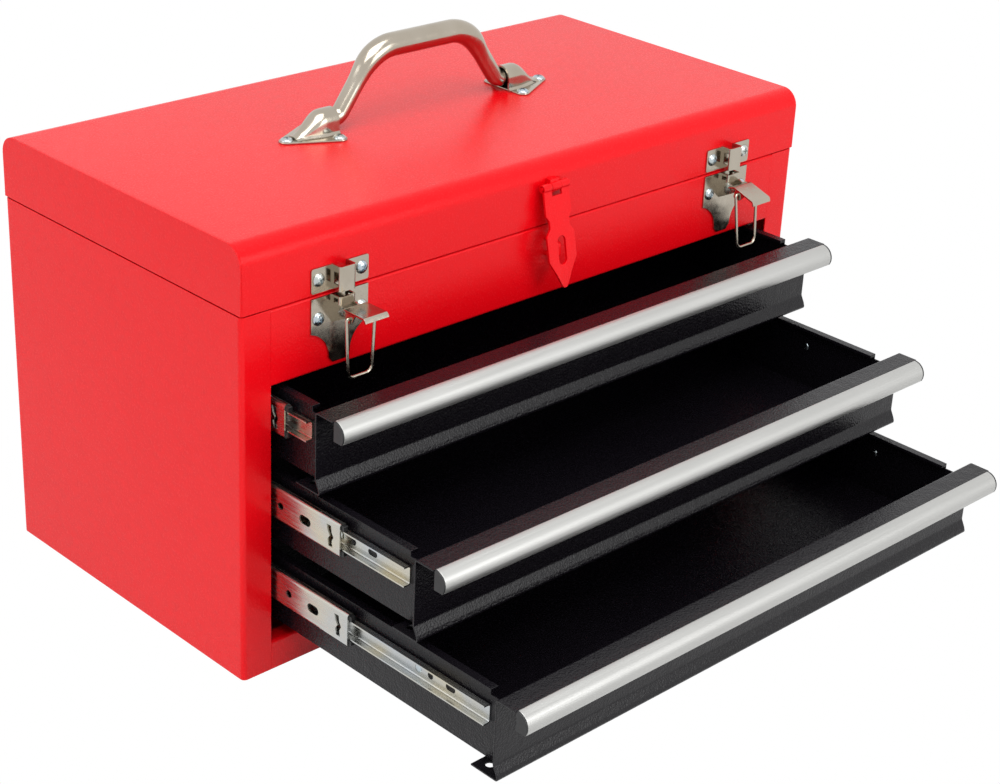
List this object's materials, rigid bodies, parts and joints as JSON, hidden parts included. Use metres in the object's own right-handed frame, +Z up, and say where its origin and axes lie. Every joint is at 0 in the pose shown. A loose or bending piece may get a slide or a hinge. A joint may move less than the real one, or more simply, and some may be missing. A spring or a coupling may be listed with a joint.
{
  "type": "portable tool box with drawers",
  "caption": "Portable red steel tool box with a lidded top compartment over drawers on ball-bearing slides, draw latches, a hasp and a carry handle.",
  "frame": {"origin": "centre of the cabinet's underside", "axes": "+X along the width to the right seen from the front, -Y to the front, +Z up"},
  "size_m": [0.52, 0.4992, 0.3609],
  "materials": {
    "red_coating": "glossy fine-textured powder coat",
    "black_coating": "glossy fine-textured powder coat",
    "satin_aluminium": "satin anodised",
    "dark_plastic": "moulded",
    "zinc_plate": "bright zinc plate",
    "nickel_plate": "warm nickel plate"
  },
  "bodies": {
    "cabinet": {"bottom_pan": "red_coating", "cabinet_latch_screws": "zinc_plate", "cabinet_wrap": "red_coating", "compartment_floor": "red_coating", "drawer_1_left_outer_rail": "zinc_plate", "drawer_1_right_outer_rail": "zinc_plate", "drawer_2_left_outer_rail": "zinc_plate", "drawer_2_right_outer_rail": "zinc_plate", "drawer_3_left_outer_rail": "zinc_plate", "drawer_3_right_outer_rail": "zinc_plate", "front_header": "red_coating", "front_sill": "red_coating", "hasp_staple": "red_coating", "hinge_cabinet_leaf": "red_coating", "hinge_pin": "zinc_plate", "left_latch_base": "nickel_plate", "left_lever_pin": "nickel_plate", "right_latch_base": "nickel_plate", "right_lever_pin": "nickel_plate", "slide_uprights": "red_coating"},
    "lid": {"lid_wrap": "red_coating", "lid_ends": "red_coating", "hinge_lid_leaf": "red_coating", "left_latch_strike": "nickel_plate", "right_latch_strike": "nickel_plate", "lid_latch_screws": "zinc_plate", "left_handle_bracket": "nickel_plate", "right_handle_bracket": "nickel_plate", "handle_screws": "zinc_plate", "hasp_bracket": "red_coating"},
    "handle": {"carry_handle": "nickel_plate"},
    "hasp": {"hasp": "red_coating"},
    "left_lever": {"left_latch_lever": "nickel_plate"},
    "left_bail": {"left_latch_bail": "nickel_plate"},
    "right_lever": {"right_latch_lever": "nickel_plate"},
    "right_bail": {"right_latch_bail": "nickel_plate"},
    "drawer_1": {"drawer_1_front": "black_coating", "drawer_1_left_inner_rail": "zinc_plate", "drawer_1_pull": "satin_aluminium", "drawer_1_pull_caps": "dark_plastic", "drawer_1_right_inner_rail": "zinc_plate", "drawer_1_tray": "black_coating"},
    "drawer_1_slides": {"drawer_1_left_middle_rail": "zinc_plate", "drawer_1_right_middle_rail": "zinc_plate"},
    "drawer_2": {"drawer_2_front": "black_coating", "drawer_2_left_inner_rail": "zinc_plate", "drawer_2_pull": "satin_aluminium", "drawer_2_pull_caps": "dark_plastic", "drawer_2_right_inner_rail": "zinc_plate", "drawer_2_tray": "black_coating"},
    "drawer_2_slides": {"drawer_2_left_middle_rail": "zinc_plate", "drawer_2_right_middle_rail": "zinc_plate"},
    "drawer_3": {"drawer_3_front": "black_coating", "drawer_3_left_inner_rail": "zinc_plate", "drawer_3_pull": "satin_aluminium", "drawer_3_pull_caps": "dark_plastic", "drawer_3_right_inner_rail": "zinc_plate", "drawer_3_tray": "black_coating"},
    "drawer_3_slides": {"drawer_3_left_middle_rail": "zinc_plate", "drawer_3_right_middle_rail": "zinc_plate"}
  },
  "joints": [
    {"name": "lid_hinge", "type": "hinge", "parent": "cabinet", "child": "lid", "pos_m": [0, 0.1328, 0.2584], "axis": [-1, 0, 0], "range_deg": [0, 100]},
    {"name": "handle_swing", "type": "hinge", "parent": "lid", "child": "handle", "pos_m": [0, 0.003, 0.3124], "axis": [1, 0, 0], "range_deg": [-88, 88]},
    {"name": "hasp_swing", "type": "hinge", "parent": "lid", "child": "hasp", "pos_m": [0, -0.1342, 0.2865], "axis": [-1, 0, 0], "range_deg": [-10, 150]},
    {"name": "left_lever_swing", "type": "hinge", "parent": "cabinet", "child": "left_lever", "pos_m": [-0.1835, -0.1425, 0.2467], "axis": [1, 0, 0], "range_deg": [0, 100]},
    {"name": "left_bail_swing", "type": "hinge", "parent": "left_lever", "child": "left_bail", "pos_m": [-0.1835, -0.1513, 0.2475], "axis": [1, 0, 0], "range_deg": [-286.9, 0]},
    {"name": "right_lever_swing", "type": "hinge", "parent": "cabinet", "child": "right_lever", "pos_m": [0.1835, -0.1425, 0.2467], "axis": [1, 0, 0], "range_deg": [0, 86]},
    {"name": "right_bail_swing", "type": "hinge", "parent": "right_lever", "child": "right_bail", "pos_m": [0.1835, -0.15124, 0.24535], "axis": [1, 0, 0], "range_deg": [-258.9, 0]},
    {"name": "drawer_1_slide", "type": "slide", "parent": "cabinet", "child": "drawer_1", "axis": [0, -1, 0], "range_m": [-0.0426, 0.1874]},
    {"name": "drawer_1_slide_middle", "type": "slide", "parent": "cabinet", "child": "drawer_1_slides", "axis": [0, -1, 0], "range_m": [-0.01714, 0.07506]},
    {"name": "drawer_2_slide", "type": "slide", "parent": "cabinet", "child": "drawer_2", "axis": [0, -1, 0], "range_m": [-0.1357, 0.0943]},
    {"name": "drawer_2_slide_middle", "type": "slide", "parent": "cabinet", "child": "drawer_2_slides", "axis": [0, -1, 0], "range_m": [-0.06904, 0.048]},
    {"name": "drawer_3_slide", "type": "slide", "parent": "cabinet", "child": "drawer_3", "axis": [0, -1, 0], "range_m": [-0.209, 0.021]},
    {"name": "drawer_3_slide_middle", "type": "slide", "parent": "cabinet", "child": "drawer_3_slides", "axis": [0, -1, 0], "range_m": [-0.07764, 0.00789]}
  ],
  "couplings": [
    {"joint": "left_bail_swing", "follows": "left_lever_swing", "ratio": -2.868},
    {"joint": "right_bail_swing", "follows": "right_lever_swing", "ratio": -3.0093},
    {"joint": "drawer_1_slide_middle", "follows": "drawer_1_slide", "ratio": 0.4},
    {"joint": "drawer_2_slide_middle", "follows": "drawer_2_slide", "ratio": 0.508},
    {"joint": "drawer_3_slide_middle", "follows": "drawer_3_slide", "ratio": 0.371}
  ]
}
